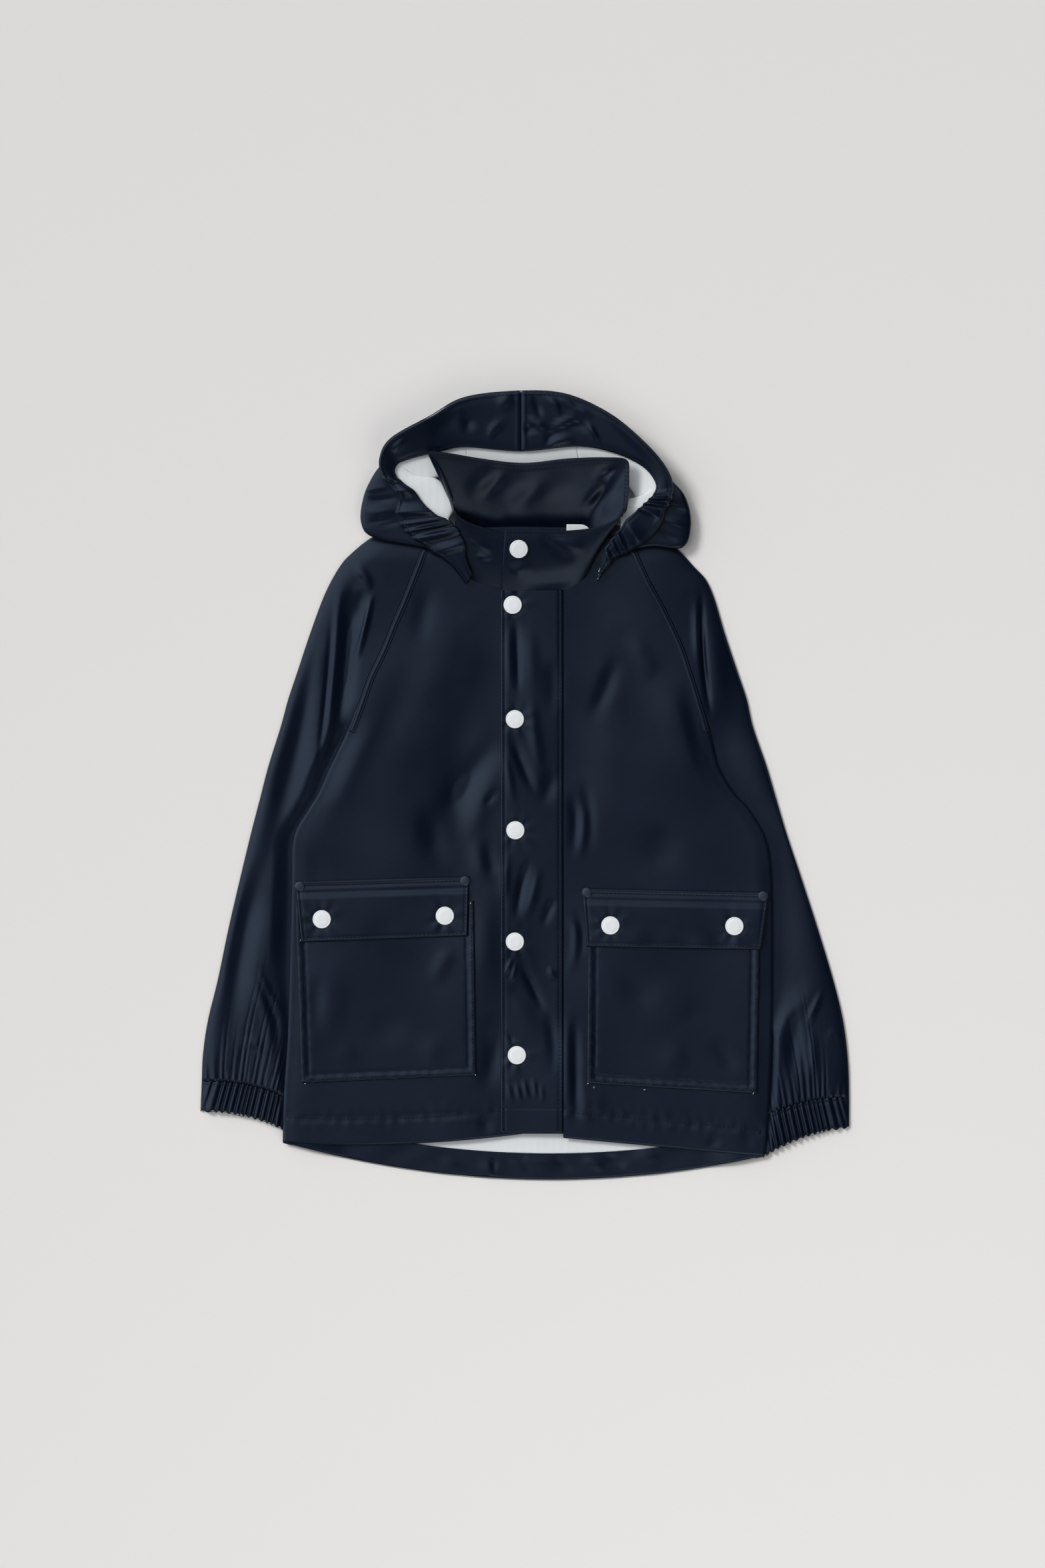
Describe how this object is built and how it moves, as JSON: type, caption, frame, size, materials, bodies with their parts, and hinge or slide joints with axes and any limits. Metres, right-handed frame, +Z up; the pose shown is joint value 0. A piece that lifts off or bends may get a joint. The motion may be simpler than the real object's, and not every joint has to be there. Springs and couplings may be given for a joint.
{
  "type": "kids raincoat",
  "caption": "Child's hooded raincoat in smooth coated cloth, laid flat: raglan sleeves, gathered cuffs, press-stud placket, flap pockets and a dropped back hem.",
  "frame": {"origin": "on the table under the coat, at the middle of the coat's bounding box", "axes": "+Y from the hem towards the hood, +Z up off the table, +X towards the wearer's left sleeve as seen from above"},
  "size_m": [0.5266, 0.6379, 0.0276],
  "materials": {
    "coated_cloth": "navy knit cloth with a smooth polyurethane coat, satin sheen",
    "white_knit": "white knitted backing, matt",
    "press_stud": "white lacquered stud cap, semi-gloss",
    "rivet": "dark navy lacquered rivet, semi-gloss"
  },
  "bodies": {
    "root": {"front_right": "coated_cloth", "sleeve_right_front": "coated_cloth", "sleeve_right_back": "coated_cloth", "raglan_fell_right": "coated_cloth", "cuff_right_front": "coated_cloth", "cuff_right_back": "coated_cloth", "front_left": "coated_cloth", "sleeve_left_front": "coated_cloth", "sleeve_left_back": "coated_cloth", "raglan_fell_left": "coated_cloth", "cuff_left_front": "coated_cloth", "cuff_left_back": "coated_cloth", "back": "coated_cloth", "back_hem_turnup": "coated_cloth", "placket": "coated_cloth", "pocket_right": "coated_cloth", "pocket_flap_right": "coated_cloth", "pocket_left": "coated_cloth", "pocket_flap_left": "coated_cloth", "collar": "coated_cloth", "neck_label": "white_knit", "hood_side_right": "coated_cloth", "hood_centre": "coated_cloth", "hood_side_left": "coated_cloth", "hood_facing_right": "coated_cloth", "hood_facing_left": "coated_cloth", "snap_placket_1": "press_stud", "snap_placket_2": "press_stud", "snap_placket_3": "press_stud", "snap_placket_4": "press_stud", "snap_placket_5": "press_stud", "snap_flap_1": "press_stud", "snap_flap_2": "press_stud", "snap_flap_3": "press_stud", "snap_flap_4": "press_stud", "snap_collar": "press_stud", "rivet_1": "rivet", "rivet_2": "rivet", "rivet_3": "rivet", "rivet_4": "rivet"}
  },
  "joints": []
}
